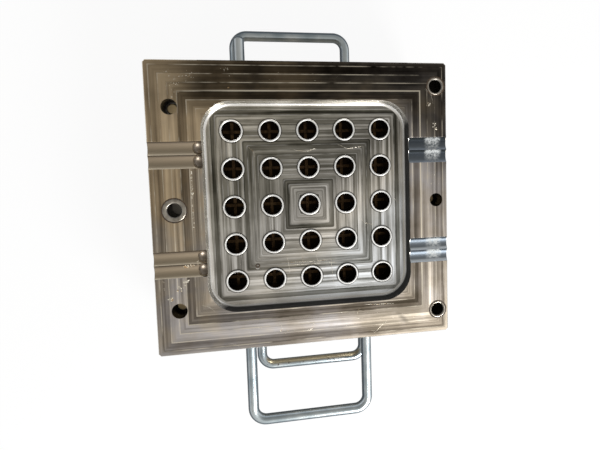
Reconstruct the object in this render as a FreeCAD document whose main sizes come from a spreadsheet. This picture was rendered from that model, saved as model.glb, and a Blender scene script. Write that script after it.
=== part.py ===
"""Injection mould half: the ejector half of a small 25-cavity mould, lying on its back.

Millimetres, +Z up. The origin is the centre of the back face of the clamp plate, X runs
along the long side of the plates and the parting face looks up. From the back to the
parting face the stack is: clamp plate, two spacer rails with the ejector package between
them, support plate and cavity plate.
"""

import FreeCAD
import Part
import Sketcher
import os

from FreeCAD import Rotation, Vector

DOC = FreeCAD.newDocument("mould_half")

# ---------------------------------------------------------------------------
# driving dimensions

DIMENSIONS = [
    # plates
    ("plate_width", 330.0),         # all plates, along X
    ("plate_height", 315.0),        # all plates, along Y
    ("clamp_thick", 22.0),
    ("rail_tall", 46.0),            # spacer rails, which set the ejector space
    ("rail_wide", 35.0),
    ("support_thick", 22.0),
    ("cavity_thick", 36.0),
    ("corner_chamfer", 2.5),        # upright corners of every plate
    ("edge_break", 0.8),            # long edges of every plate
    # pocket in the parting face
    ("pocket_width", 230.0),
    ("pocket_height", 230.0),
    ("pocket_corner", 32.0),
    ("pocket_deep", 15.0),
    ("pocket_fillet", 6.0),         # round between wall and floor
    ("pocket_shift", 4.5),          # pocket centre from the plate centre, along X
    # core sleeves
    ("sleeve_pitch", 42.0),
    ("sleeve_outer", 25.0),
    ("sleeve_bore", 21.0),
    ("sleeve_proud", 2.0),          # rim above the pocket floor
    ("sleeve_break", 0.6),          # bevels of the rim
    # cross-faced ejector pins
    ("running_gap", 0.3),           # radial, pins in their sleeves and plates
    ("cross_below_rim", 25.0),      # cross face below the sleeve rim
    ("cross_arm", 3.4),
    ("cross_tall", 3.0),
    ("pin_head_over", 4.5),         # head diameter over the shank
    ("pin_head_tall", 4.0),
    # feed grooves beside the pocket
    ("groove_radius", 10.5),
    ("groove_deep", 3.2),
    ("groove_pitch", 14.4),
    ("groove_pair", 58.5),          # centre of each pair from the centre line
    ("scoop_radius", 7.6),
    ("scoop_deep", 8.6),
    ("scoop_out", 2.0),             # scoop centre outside the pocket wall
    # guide bushes
    ("bush_bore", 15.0),
    ("bush_outer_left", 25.0),
    ("bush_outer_right", 20.0),
    ("bush_lead", 1.0),
    ("bush_left_in", 24.0),         # left bush and left return pins from the left edge
    ("bush_right_in", 13.0),        # right bushes from the right edge
    ("bush_corner_in", 26.5),       # right bushes from the long edges
    # return pins
    ("return_pin", 12.0),
    ("return_below", 24.0),         # pin end below the parting face
    ("return_corner_in", 48.5),     # left return pins from the long edges
    ("return_right_in", 13.5),      # right return pin from the right edge
    ("return_hole_left", 16.5),
    ("return_hole_right", 15.5),
    ("pin_break", 1.0),
    # ejector package
    ("stop_tall", 3.0),
    ("stop_round", 22.0),
    ("stop_across", 120.0),
    ("stop_up", 70.0),
    ("ejector_thick", 12.0),
    ("retainer_thick", 9.0),
    ("package_side", 2.0),          # package short of the plate edge, along X
    ("package_gap", 3.0),           # package clear of the rails, along Y
    ("rod_hole", 40.0),             # ejector rod hole in the clamp plate
    ("rod_thread", 16.0),
    ("ejector_screw", 8.0),
    ("ejector_screw_across", 115.0),
    ("ejector_screw_up", 40.0),
    # screws through the stack
    ("screw", 12.0),
    ("screw_head", 18.0),
    ("head_ratio", 1.5),            # head of a short cap screw over its thread
    ("socket_ratio", 1.05),         # thread over the socket's corners
    ("screw_gap", 0.5),             # radial, screw in its clearance hole
    ("screw_grip", 18.0),           # thread in the cavity plate
    ("screw_over", 3.0),            # thread hole past the screw's end
    ("screw_in", 60.0),             # stack screws from the short edges
    ("sink_room", 1.0),             # counterbore over a pin or screw head
    ("head_sink", 1.0),             # screw head below the back face
    # machine bolt holes in the back
    ("machine_bolt", 16.0),
    ("machine_square", 210.0),
    # bow handles and the lifting post
    ("bar_round", 12.0),
    ("front_span", 134.0),          # leg centre to leg centre
    ("lower_span", 132.0),
    ("upper_span", 136.0),
    ("handle_bend", 15.0),
    ("front_reach", 91.0),          # bar centre from the plate
    ("lower_reach", 54.0),
    ("upper_reach", 45.0),
    ("front_below", 14.0),          # handle axis below the parting face
    ("front_shift", -0.6),          # handle middles off the centre line
    ("lower_shift", 10.4),
    ("upper_shift", -6.2),
    ("stub", 10.0),                 # threaded end
    ("stub_long", 15.0),
    ("stub_gap", 0.2),
    ("stub_over", 2.0),             # blind hole past the stub's end
    ("post_tall", 28.0),
    ("post_dome", 4.0),
    # cooling channels
    ("channel", 8.0),
    ("channel_port", 13.0),
    ("port_deep", 12.0),
    # dimple in the pocket floor
    ("dimple", 4.0),
    ("dimple_deep", 1.5),
    ("dimple_left", 61.3),          # from the pocket centre
    ("dimple_down", 70.5),
]

SHEET = DOC.addObject("Spreadsheet::Sheet", "sizes")
for row, (alias, value) in enumerate(DIMENSIONS, start=1):
    SHEET.set("A%d" % row, alias)
    SHEET.set("B%d" % row, str(value))
    SHEET.setAlias("B%d" % row, alias)

# heights and sizes that follow from the driving ones
DERIVED = [
    ("support_base", "=clamp_thick + rail_tall"),
    ("cavity_base", "=support_base + support_thick"),
    ("stack_tall", "=cavity_base + cavity_thick"),
    ("pocket_floor", "=cavity_thick - pocket_deep"),
    ("sleeve_tall", "=pocket_floor + sleeve_proud"),
    ("sleeve_rim", "=cavity_base + sleeve_tall"),
    ("cross_face", "=sleeve_rim - cross_below_rim"),
    ("pin_round", "=sleeve_bore - 2 * running_gap"),
    ("ejector_base", "=clamp_thick + stop_tall"),
    ("retainer_base", "=ejector_base + ejector_thick"),
    ("retainer_top", "=retainer_base + retainer_thick"),
    ("package_width", "=plate_width - 2 * package_side"),
    ("package_height", "=plate_height - 2 * rail_wide - 2 * package_gap"),
    ("return_head", "=return_pin + pin_head_over"),
    ("rail_middle", "=(plate_height - rail_wide) / 2"),
    ("screw_up", "=rail_middle"),
    ("screw_across", "=plate_width / 2 - screw_in"),
    ("bush_left", "=plate_width / 2 - bush_left_in"),
    ("bush_right", "=plate_width / 2 - bush_right_in"),
    ("bush_right_up", "=plate_height / 2 - bush_corner_in"),
    ("return_left", "=bush_left"),
    ("return_left_up", "=plate_height / 2 - return_corner_in"),
    ("return_right", "=plate_width / 2 - return_right_in"),
    ("front_axis", "=stack_tall - front_below"),
    ("rear_axis", "=clamp_thick + rail_tall / 2"),
    ("groove_lift", "=groove_radius - groove_deep"),
    ("groove_inner", "=groove_pair - groove_pitch / 2"),
    ("groove_outer", "=groove_pair + groove_pitch / 2"),
    ("pocket_left", "=pocket_shift - pocket_width / 2"),
    ("channel_line", "=sleeve_pitch / 2"),
    ("channel_height", "=pocket_floor / 2"),
]
for row, (alias, formula) in enumerate(DERIVED, start=len(DIMENSIONS) + 1):
    SHEET.set("A%d" % row, alias)
    SHEET.set("B%d" % row, formula)
    SHEET.setAlias("B%d" % row, alias)
DOC.recompute()

COLUMNS = range(5)
ROWS = range(5)
GROOVES = ("-sizes.groove_outer", "-sizes.groove_inner", "sizes.groove_inner", "sizes.groove_outer")
SIDES = ("-", "")

NODES = []


def size(name):
    """The value of one cell of the sheet."""
    return float(SHEET.get(name))


# ---------------------------------------------------------------------------
# small tools


def value(formula):
    """What a formula comes to, in millimetres."""
    return float(SHEET.evalExpression(formula))


def bind(thing, **formulas):
    """Bind properties to formulas; two underscores in a name stand for a dot."""
    for name, formula in formulas.items():
        thing.setExpression(name.replace("__", "."), formula)


def node(thing, label):
    """Name a finished piece and list it."""
    thing.Label = label
    NODES.append(thing)
    return thing


def new_body(name, x="0", y="0", z="0"):
    """A PartDesign body and where it stands."""
    made = DOC.addObject("PartDesign::Body", name)
    bind(made, Placement__Base__x=x, Placement__Base__y=y, Placement__Base__z=z)
    return made


def on_plane(owner, kind, name, plane="XY_Plane", x="0", y="0", z="0"):
    """A sketch or primitive on one of the body's own planes, moved by the offsets."""
    made = owner.newObject(kind, name)
    origin = [item for item in owner.Origin.OriginFeatures if item.Role == plane][0]
    made.AttachmentSupport = [(origin, "")]
    made.MapMode = "FlatFace"
    for axis, formula in zip("xyz", (x, y, z)):
        made.setExpression("AttachmentOffset.Base." + axis, formula)
    return made


def sketch(owner, name, plane="XY_Plane", **offset):
    """An empty sketch of the body."""
    return on_plane(owner, "Sketcher::SketchObject", name, plane, **offset)


def dimension(drawing, kind, *where_and_formula):
    """One dimension of a sketch, bound to its formula."""
    where = where_and_formula[:-1]
    formula = where_and_formula[-1]
    index = drawing.addConstraint(Sketcher.Constraint(kind, *where, value(formula)))
    drawing.setExpression("Constraints[%d]" % index, formula)


def outline(drawing, corners):
    """A closed outline of straight lines through corners given as formulas."""
    places = [Vector(value(x), value(y), 0) for x, y in corners]
    count = len(corners)
    first = drawing.GeometryCount
    for index, start in enumerate(places):
        end = places[(index + 1) % count]
        drawing.addGeometry(Part.LineSegment(start, end), False)
    for index, (x, y) in enumerate(corners):
        line = first + index
        before = first + (index - 1) % count
        drawing.addConstraint(Sketcher.Constraint("Coincident", before, 2, line, 1))
        dimension(drawing, "DistanceX", -1, 1, line, 1, x)
        dimension(drawing, "DistanceY", -1, 1, line, 1, y)


def circles(drawing, places, diameter):
    """Circles of one diameter at places given as formulas."""
    for x, y in places:
        middle = Vector(value(x), value(y), 0)
        radius = value(diameter) / 2
        index = drawing.addGeometry(Part.Circle(middle, Vector(0, 0, 1), radius), False)
        dimension(drawing, "DistanceX", -1, 1, index, 3, x)
        dimension(drawing, "DistanceY", -1, 1, index, 3, y)
        dimension(drawing, "Diameter", index, diameter)


def pad(owner, name, drawing, length):
    """A sketch raised along its normal."""
    made = owner.newObject("PartDesign::Pad", name)
    made.Profile = drawing
    bind(made, Length=length)
    DOC.recompute()
    return made


def cut(owner, name, drawing, length=None, along=False):
    """A sketch sunk against its normal, or along it; through everything with no length."""
    made = owner.newObject("PartDesign::Pocket", name)
    made.Profile = drawing
    made.Reversed = along
    if length is None:
        made.Type = "ThroughAll"
    else:
        bind(made, Length=length)
    DOC.recompute()
    return made


def turn(owner, name, corners):
    """A full turn of an outline about the upright axis of the body."""
    drawing = sketch(owner, name + "_profile", "XZ_Plane")
    outline(drawing, corners)
    made = owner.newObject("PartDesign::Revolution", name)
    made.Profile = drawing
    made.ReferenceAxis = (drawing, ["V_Axis"])
    made.Angle = 360
    DOC.recompute()
    return made


def edges_where(feature, test):
    """Names of the feature's edges whose box passes a test."""
    return ["Edge%d" % (index + 1) for index, edge in enumerate(feature.Shape.Edges)
            if test(edge.BoundBox)]


def soften(owner, kind, name, feature, test, amount):
    """A fillet or chamfer on the edges that pass a test."""
    made = owner.newObject("PartDesign::" + kind, name)
    made.Base = (feature, edges_where(feature, test))
    bind(made, **{"Radius" if kind == "Fillet" else "Size": amount})
    DOC.recompute()
    return made


def at_height(level):
    """A test for edges that lie flat at one height of the body."""
    return lambda box: abs(box.ZMin - level) < 1e-4 and abs(box.ZMax - level) < 1e-4


def upright(box):
    """A test for straight upright edges."""
    return box.XLength < 1e-4 and box.YLength < 1e-4


def legs_of(handle):
    """Where the two legs of a bow handle stand along X."""
    return ["sizes.%s_shift %s sizes.%s_span / 2" % (handle, sign, handle) for sign in "-+"]


def mirrored(x, y):
    """The four places of a pattern that is even about both centre lines."""
    return [(a + x, b + y) for a in SIDES for b in SIDES]


# ---------------------------------------------------------------------------
# places of what repeats

SLEEVE_PLACES = {
    (row, column): ("sizes.pocket_shift + %d * sizes.sleeve_pitch" % (column - 2),
                    "%d * sizes.sleeve_pitch" % (2 - row))
    for row in ROWS for column in COLUMNS
}
BUSH_PLACES = {
    "left": ("-sizes.bush_left", "0"),
    "right_top": ("sizes.bush_right", "sizes.bush_right_up"),
    "right_bottom": ("sizes.bush_right", "-sizes.bush_right_up"),
}
RETURN_PLACES = {
    "left_top": ("-sizes.return_left", "sizes.return_left_up"),
    "left_bottom": ("-sizes.return_left", "-sizes.return_left_up"),
    "right": ("sizes.return_right", "0"),
}
LEFT_RETURNS = [RETURN_PLACES["left_top"], RETURN_PLACES["left_bottom"]]
STACK_SCREWS = mirrored("sizes.screw_across", "sizes.screw_up")
PACKAGE_SCREWS = mirrored("sizes.ejector_screw_across", "sizes.ejector_screw_up")
STOPS = mirrored("sizes.stop_across", "sizes.stop_up")
BUSH_OUTER = {place: "sizes.bush_outer_" + place.split("_")[0] for place in BUSH_PLACES}

SCREW_PASS = "sizes.screw + 2 * sizes.screw_gap"
PIN_PASS = "sizes.sleeve_bore"
STUB_HOLE = "sizes.stub + 2 * sizes.stub_gap"
STUB_HOLE_DEEP = "sizes.stub_long + sizes.stub_over"


# ---------------------------------------------------------------------------
# plates


def plate(name, thick, base, wide="sizes.plate_width", tall="sizes.plate_height", y="0"):
    """A plate with chamfered corners and broken edges, its lower face on the XY plane."""
    owner = new_body(name, y=y, z=base)
    drawing = sketch(owner, name + "_outline")
    outline(drawing, [
        ("-(%s) / 2" % wide, "-(%s) / 2" % tall),
        ("(%s) / 2" % wide, "-(%s) / 2" % tall),
        ("(%s) / 2" % wide, "(%s) / 2" % tall),
        ("-(%s) / 2" % wide, "(%s) / 2" % tall),
    ])
    block = pad(owner, name + "_block", drawing, thick)
    corners = soften(owner, "Chamfer", name + "_corners", block, upright, "sizes.corner_chamfer")
    both_faces = lambda box: at_height(0)(box) or at_height(value(thick))(box)
    soften(owner, "Chamfer", name + "_edges", corners, both_faces, "sizes.edge_break")
    return owner


def holes(owner, name, places, diameter, deep=None, from_level=None):
    """Round holes: sunk from a level, or up from the lower face with no level."""
    drawing = sketch(owner, name + "_rounds", z=from_level or "0")
    circles(drawing, places, diameter)
    return cut(owner, name, drawing, deep, along=from_level is None)


def side_holes(owner, name, side, places, diameter, deep, face):
    """Round holes from the lower (-1) or upper (+1) long side face of a plate."""
    drawing = sketch(owner, name + "_rounds", "XZ_Plane", z=("-(%s)" if side > 0 else "%s") % face)
    circles(drawing, places, diameter)
    return cut(owner, name, drawing, deep, along=side > 0)


def make_clamp_plate():
    """Back plate with sunk screw heads, machine bolt holes and the ejector rod hole."""
    owner = plate("clamp_plate", "sizes.clamp_thick", "0")
    holes(owner, "clamp_screw_holes", STACK_SCREWS, SCREW_PASS)
    holes(owner, "clamp_head_sinks", STACK_SCREWS, "sizes.screw_head + 2 * sizes.screw_gap",
          "sizes.screw + sizes.head_sink")
    square = "sizes.machine_square / 2"
    holes(owner, "machine_bolt_holes", mirrored(square, square), "sizes.machine_bolt")
    holes(owner, "ejector_rod_hole", [("0", "0")], "sizes.rod_hole")
    node(owner, "clamp_plate")


def make_rail(label, side, handle):
    """Spacer rail under one long side, with the blind holes of its bow handle."""
    sign = "-" if side < 0 else ""
    owner = plate(label, "sizes.rail_tall", "sizes.clamp_thick",
                  tall="sizes.rail_wide", y=sign + "sizes.rail_middle")
    holes(owner, label + "_screw_holes", [(a + "sizes.screw_across", "0") for a in SIDES], SCREW_PASS)
    legs = [(leg, "sizes.rail_tall / 2") for leg in legs_of(handle)]
    side_holes(owner, label + "_handle_holes", side, legs, STUB_HOLE, STUB_HOLE_DEEP,
               "sizes.rail_wide / 2")
    node(owner, label)


def make_support_plate():
    """Plate behind the cavity plate: it holds the sleeves down and guides the pins."""
    owner = plate("support_plate", "sizes.support_thick", "sizes.support_base")
    holes(owner, "support_screw_holes", STACK_SCREWS, SCREW_PASS)
    holes(owner, "support_return_holes", list(RETURN_PLACES.values()),
          "sizes.return_pin + 2 * sizes.running_gap")
    grid_holes(owner, "support_pin_holes", PIN_PASS)
    node(owner, "support_plate")


def grid_holes(owner, name, diameter, deep=None, from_level=None):
    """One hole per sleeve: the corner hole repeated along both directions of the grid."""
    first = holes(owner, name, [SLEEVE_PLACES[(ROWS[-1], COLUMNS[0])]], diameter, deep, from_level)
    spread = owner.newObject("PartDesign::MultiTransform", name + "_grid")
    spread.Originals = [first]
    lines = []
    for axis, count in (("H_Axis", len(COLUMNS)), ("V_Axis", len(ROWS))):
        line = owner.newObject("PartDesign::LinearPattern", name + "_" + axis[0].lower())
        line.Direction = (first.Profile[0], [axis])
        line.Occurrences = count
        bind(line, Length="%d * sizes.sleeve_pitch" % (count - 1))
        lines.append(line)
    spread.Transformations = lines
    owner.Tip = spread
    DOC.recompute()
    return spread


def make_cavity_plate():
    """Parting plate: rounded pocket, feed grooves, bores for sleeves, bushes and pins."""
    top = "sizes.cavity_thick"
    owner = plate("cavity_plate", top, "sizes.cavity_base")

    drawing = sketch(owner, "pocket_outline", z=top, x="sizes.pocket_shift")
    half_x = "sizes.pocket_width / 2"
    half_y = "sizes.pocket_height / 2"
    outline(drawing, [("-" + half_x, "-" + half_y), (half_x, "-" + half_y),
                      (half_x, half_y), ("-" + half_x, half_y)])
    sunk = cut(owner, "pocket", drawing, "sizes.pocket_deep")
    inner = lambda box: upright(box) and abs(box.ZLength - size("pocket_deep")) < 1e-3
    rounded = soften(owner, "Fillet", "pocket_corners", sunk, inner, "sizes.pocket_corner")
    soften(owner, "Fillet", "pocket_floor_round", rounded, at_height(value("sizes.pocket_floor")),
           "sizes.pocket_fillet")

    drawing = sketch(owner, "groove_rounds", "YZ_Plane", z="sizes.plate_width / 2")
    circles(drawing, [(y, top + " + sizes.groove_lift") for y in GROOVES],
            "2 * sizes.groove_radius")
    cut(owner, "feed_grooves", drawing)
    for index, y in enumerate(GROOVES):
        ball = on_plane(owner, "PartDesign::SubtractiveSphere", "scoop_%d" % (index + 1),
                        x="sizes.pocket_left - sizes.scoop_out", y=y,
                        z=top + " - sizes.scoop_deep + sizes.scoop_radius")
        bind(ball, Radius="sizes.scoop_radius")
        DOC.recompute()

    grid_holes(owner, "sleeve_bores", "sizes.sleeve_outer", from_level=top)
    for place, middle in BUSH_PLACES.items():
        holes(owner, "bush_bore_" + place, [middle], BUSH_OUTER[place], from_level=top)
    holes(owner, "return_holes_left", LEFT_RETURNS, "sizes.return_hole_left", from_level=top)
    holes(owner, "return_hole_right", [RETURN_PLACES["right"]], "sizes.return_hole_right",
          from_level=top)
    holes(owner, "stack_thread_holes", STACK_SCREWS, "sizes.screw + 2 * sizes.stub_gap",
          "sizes.screw_grip + sizes.screw_over")
    holes(owner, "dimple", [("sizes.pocket_shift - sizes.dimple_left", "-sizes.dimple_down")],
          "sizes.dimple", "sizes.dimple_deep", from_level="sizes.pocket_floor")

    legs = [(leg, top + " - sizes.front_below") for leg in legs_of("front")]
    for side, name in ((-1, "lower"), (1, "upper")):
        side_holes(owner, name + "_stub_holes", side, legs, STUB_HOLE, STUB_HOLE_DEEP,
                   "sizes.plate_height / 2")

    channels = [(a + "sizes.channel_line", "sizes.channel_height") for a in SIDES]
    drawing = sketch(owner, "channel_rounds", "YZ_Plane", z="sizes.plate_width / 2")
    circles(drawing, channels, "sizes.channel")
    cut(owner, "cooling_channels", drawing)
    for sign, name in (("", "right"), ("-", "left")):
        drawing = sketch(owner, name + "_port_rounds", "YZ_Plane", z=sign + "sizes.plate_width / 2")
        circles(drawing, channels, "sizes.channel_port")
        cut(owner, name + "_ports", drawing, "sizes.port_deep", along=sign == "-")
    node(owner, "cavity_plate")


def make_ejector_plates():
    """Retainer plate with the pin heads sunk in it, and the ejector plate behind it."""
    wide = "sizes.package_width"
    tall = "sizes.package_height"
    owner = plate("ejector_retainer_plate", "sizes.retainer_thick", "sizes.retainer_base", wide, tall)
    grid_holes(owner, "retainer_pin_holes", "sizes.pin_round + 2 * sizes.running_gap")
    grid_holes(owner, "retainer_head_sinks", "sizes.pin_round + sizes.pin_head_over + sizes.sink_room",
               "sizes.pin_head_tall")
    returns = list(RETURN_PLACES.values())
    holes(owner, "retainer_return_holes", returns, "sizes.return_pin + 2 * sizes.running_gap")
    holes(owner, "retainer_return_sinks", returns, "sizes.return_head + sizes.sink_room",
          "sizes.pin_head_tall")
    holes(owner, "retainer_threads", PACKAGE_SCREWS, "sizes.ejector_screw + 2 * sizes.stub_gap")
    node(owner, "ejector_retainer_plate")

    owner = plate("ejector_plate", "sizes.ejector_thick", "sizes.ejector_base", wide, tall)
    holes(owner, "ejector_screw_holes", PACKAGE_SCREWS, "sizes.ejector_screw + 2 * sizes.screw_gap")
    holes(owner, "ejector_screw_sinks", PACKAGE_SCREWS,
          "sizes.head_ratio * sizes.ejector_screw + sizes.sink_room",
          "sizes.ejector_screw + sizes.stub_gap")
    holes(owner, "ejector_rod_thread", [("0", "0")], "sizes.rod_thread")
    node(owner, "ejector_plate")


# ---------------------------------------------------------------------------
# turned pieces


def make_core_sleeve(row, column):
    """Sleeve pressed into the cavity plate, its polished rim bevelled both ways."""
    x, y = SLEEVE_PLACES[(row, column)]
    name = "core_sleeve_r%dc%d" % (row + 1, column + 1)
    owner = new_body(name, x, y, "sizes.cavity_base")
    turn(owner, name + "_turning", [
        ("sizes.sleeve_bore / 2", "0"),
        ("sizes.sleeve_outer / 2", "0"),
        ("sizes.sleeve_outer / 2", "sizes.sleeve_tall - sizes.sleeve_break"),
        ("sizes.sleeve_outer / 2 - sizes.sleeve_break", "sizes.sleeve_tall"),
        ("sizes.sleeve_bore / 2 + sizes.sleeve_break", "sizes.sleeve_tall"),
        ("sizes.sleeve_bore / 2", "sizes.sleeve_tall - sizes.sleeve_break"),
    ])
    node(owner, name)


def make_guide_bush(place):
    """Straight guide bush with a chamfered lead-in."""
    x, y = BUSH_PLACES[place]
    name = "guide_bush_" + place
    owner = new_body(name, x, y, "sizes.cavity_base")
    turn(owner, name + "_turning", [
        ("sizes.bush_bore / 2", "0"),
        (BUSH_OUTER[place] + " / 2", "0"),
        (BUSH_OUTER[place] + " / 2", "sizes.cavity_thick"),
        ("sizes.bush_bore / 2 + sizes.bush_lead", "sizes.cavity_thick"),
        ("sizes.bush_bore / 2", "sizes.cavity_thick - sizes.bush_lead"),
    ])
    node(owner, name)


def make_return_pin(place):
    """Headed return pin of the ejector package, its end deep in its hole."""
    x, y = RETURN_PLACES[place]
    name = "return_pin_" + place
    owner = new_body(name, x, y, "sizes.retainer_base")
    end = "sizes.stack_tall - sizes.return_below - sizes.retainer_base"
    turn(owner, name + "_turning", [
        ("0", "0"),
        ("sizes.return_head / 2", "0"),
        ("sizes.return_head / 2", "sizes.pin_head_tall"),
        ("sizes.return_pin / 2", "sizes.pin_head_tall"),
        ("sizes.return_pin / 2", end + " - sizes.pin_break"),
        ("sizes.return_pin / 2 - sizes.pin_break", end),
        ("0", end),
    ])
    node(owner, name)


def make_stop_button(index):
    """Stop button between the clamp plate and the ejector plate."""
    x, y = STOPS[index]
    owner = new_body("stop_button_%d" % (index + 1), x, y, "sizes.clamp_thick")
    drawing = sketch(owner, "stop_round_%d" % (index + 1))
    circles(drawing, [("0", "0")], "sizes.stop_round")
    pad(owner, "stop_disc_%d" % (index + 1), drawing, "sizes.stop_tall")
    node(owner, "stop_button_%d" % (index + 1))


# ---------------------------------------------------------------------------
# cross-faced pins, one row to a node


def cylinder(name, diameter, tall, x="0", y="0", z="0"):
    """An upright Part cylinder."""
    made = DOC.addObject("Part::Cylinder", name)
    bind(made, Radius="(%s) / 2" % diameter, Height=tall,
         Placement__Base__x=x, Placement__Base__y=y, Placement__Base__z=z)
    return made


def box(name, wide, deep, tall, x, y, z):
    """A Part box centred on x and y."""
    made = DOC.addObject("Part::Box", name)
    bind(made, Length=wide, Width=deep, Height=tall,
         Placement__Base__x="%s - (%s) / 2" % (x, wide),
         Placement__Base__y="%s - (%s) / 2" % (y, deep), Placement__Base__z=z)
    return made


def make_cross_pin(row, column):
    """One ejector pin: head, shank, and a face with a raised cross."""
    x, y = SLEEVE_PLACES[(row, column)]
    tag = "r%dc%d" % (row + 1, column + 1)
    low = "sizes.retainer_base"
    step = "sizes.cross_face - sizes.cross_tall"
    head = cylinder("pin_head_" + tag, "sizes.pin_round + sizes.pin_head_over",
                    "sizes.pin_head_tall", x, y, low)
    shank = cylinder("pin_shank_" + tag, "sizes.pin_round", step + " - " + low, x, y, low)
    span = "sqrt(sizes.pin_round ^ 2 - sizes.cross_arm ^ 2)"
    along = box("pin_arm_x_" + tag, span, "sizes.cross_arm", "sizes.cross_tall", x, y, step)
    across = box("pin_arm_y_" + tag, "sizes.cross_arm", span, "sizes.cross_tall", x, y, step)
    pin = DOC.addObject("Part::MultiFuse", "cross_pin_" + tag)
    pin.Shapes = [head, shank, along, across]
    pin.Refine = True
    return pin


def make_cross_pin_row(row):
    """The five pins of one row."""
    name = "cross_pin_row_%d" % (row + 1)
    made = DOC.addObject("Part::Compound", name)
    made.Links = [make_cross_pin(row, column) for column in COLUMNS]
    node(made, name)


# ---------------------------------------------------------------------------
# screws


def cap_screw(name, diameter, head, x, y, low, grip_end):
    """Socket head screw with its head at the lower end and a hexagon socket."""
    shank = cylinder(name + "_shank", diameter, "%s - (%s)" % (grip_end, low), x, y, low)
    top = cylinder(name + "_head", head, diameter, x, y, low)
    solid = DOC.addObject("Part::MultiFuse", name + "_solid")
    solid.Shapes = [shank, top]
    socket = DOC.addObject("Part::Prism", name + "_socket")
    socket.Polygon = 6
    bind(socket, Circumradius="(%s) / 2 / sizes.socket_ratio" % diameter, Height="(%s) / 2" % diameter,
         Placement__Base__x=x, Placement__Base__y=y, Placement__Base__z=low)
    made = DOC.addObject("Part::Cut", name)
    made.Base = solid
    made.Tool = socket
    return made


def make_stack_screw(index):
    """Long screw that holds the whole stack together."""
    x, y = STACK_SCREWS[index]
    name = "stack_screw_%d" % (index + 1)
    node(cap_screw(name + "_cut", "sizes.screw", "sizes.screw_head", x, y,
                   "sizes.head_sink", "sizes.cavity_base + sizes.screw_grip"), name)


def make_package_screws():
    """The four short screws that hold the ejector plates together, in one node."""
    screws = []
    for index, (x, y) in enumerate(PACKAGE_SCREWS):
        screws.append(cap_screw("package_screw_%d" % (index + 1), "sizes.ejector_screw",
                                "sizes.head_ratio * sizes.ejector_screw", x, y,
                                "sizes.ejector_base + sizes.stub_gap",
                                "sizes.retainer_top - sizes.stub_gap"))
    made = DOC.addObject("Part::Compound", "package_screws")
    made.Links = screws
    node(made, "ejector_plate_screws")


# ---------------------------------------------------------------------------
# bow handles and lifting post


def make_handle(label, handle, side, z):
    """Bow handle bent from round bar with turned-down threaded ends, on one long side (-1 or 1)."""
    owner = new_body(label, "sizes.%s_shift" % handle, "%d * sizes.plate_height / 2" % side, z)
    owner.Placement.Rotation = Rotation(Vector(0, 0, 1), 90 - 90 * side)
    half_span = "sizes.%s_span / 2" % handle
    reach = "sizes.%s_reach" % handle
    half = value(half_span)
    out = value(reach)
    bend = size("handle_bend")
    spine = sketch(owner, label + "_spine")
    corner = out - bend
    spine.addGeometry(Part.LineSegment(Vector(-half, 0, 0), Vector(-half, corner, 0)), False)
    left = Part.Circle(Vector(bend - half, corner, 0), Vector(0, 0, 1), bend)
    spine.addGeometry(Part.ArcOfCircle(left, 1.5707963, 3.1415926), False)
    spine.addGeometry(Part.LineSegment(Vector(bend - half, out, 0), Vector(half - bend, out, 0)), False)
    right = Part.Circle(Vector(half - bend, corner, 0), Vector(0, 0, 1), bend)
    spine.addGeometry(Part.ArcOfCircle(right, 0, 1.5707963), False)
    spine.addGeometry(Part.LineSegment(Vector(half, corner, 0), Vector(half, 0, 0)), False)
    for first, its_end, second, other_end in ((0, 2, 1, 2), (1, 1, 2, 1), (2, 2, 3, 2), (3, 1, 4, 1)):
        spine.addConstraint(Sketcher.Constraint("Tangent", first, its_end, second, other_end))
    spine.addConstraint(Sketcher.Constraint("Vertical", 0))
    spine.addConstraint(Sketcher.Constraint("Horizontal", 2))
    spine.addConstraint(Sketcher.Constraint("Vertical", 4))
    spine.addConstraint(Sketcher.Constraint("Equal", 1, 3))
    dimension(spine, "Radius", 1, "sizes.handle_bend")
    dimension(spine, "DistanceX", -1, 1, 0, 1, "-" + half_span)
    dimension(spine, "DistanceY", -1, 1, 0, 1, "0")
    dimension(spine, "DistanceX", -1, 1, 4, 2, half_span)
    dimension(spine, "DistanceY", -1, 1, 4, 2, "0")
    dimension(spine, "DistanceY", -1, 1, 2, 1, reach)
    section = sketch(owner, label + "_section", "XZ_Plane")
    circles(section, [("-" + half_span, "0")], "sizes.bar_round")
    bow = owner.newObject("PartDesign::AdditivePipe", label + "_bow")
    bow.Profile = section
    bow.Spine = (spine, [])
    DOC.recompute()
    ends = sketch(owner, label + "_stub_rounds", "XZ_Plane")
    circles(ends, [("-" + half_span, "0"), (half_span, "0")], "sizes.stub")
    pad(owner, label + "_stubs", ends, "sizes.stub_long")
    node(owner, label)


def make_lifting_post():
    """Short round post with a domed top on the upper side of the cavity plate."""
    owner = new_body("lifting_post", legs_of("front")[0], "sizes.plate_height / 2", "sizes.front_axis")
    owner.Placement.Rotation = Rotation(Vector(1, 0, 0), -90)
    made = turn(owner, "post_turning", [
        ("0", "-sizes.stub_long"),
        ("sizes.stub / 2", "-sizes.stub_long"),
        ("sizes.stub / 2", "0"),
        ("sizes.bar_round / 2", "0"),
        ("sizes.bar_round / 2", "sizes.post_tall"),
        ("0", "sizes.post_tall"),
    ])
    soften(owner, "Fillet", "post_dome_round", made, at_height(size("post_tall")), "sizes.post_dome")
    node(owner, "lifting_post")


# ---------------------------------------------------------------------------
# the mould half

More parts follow.
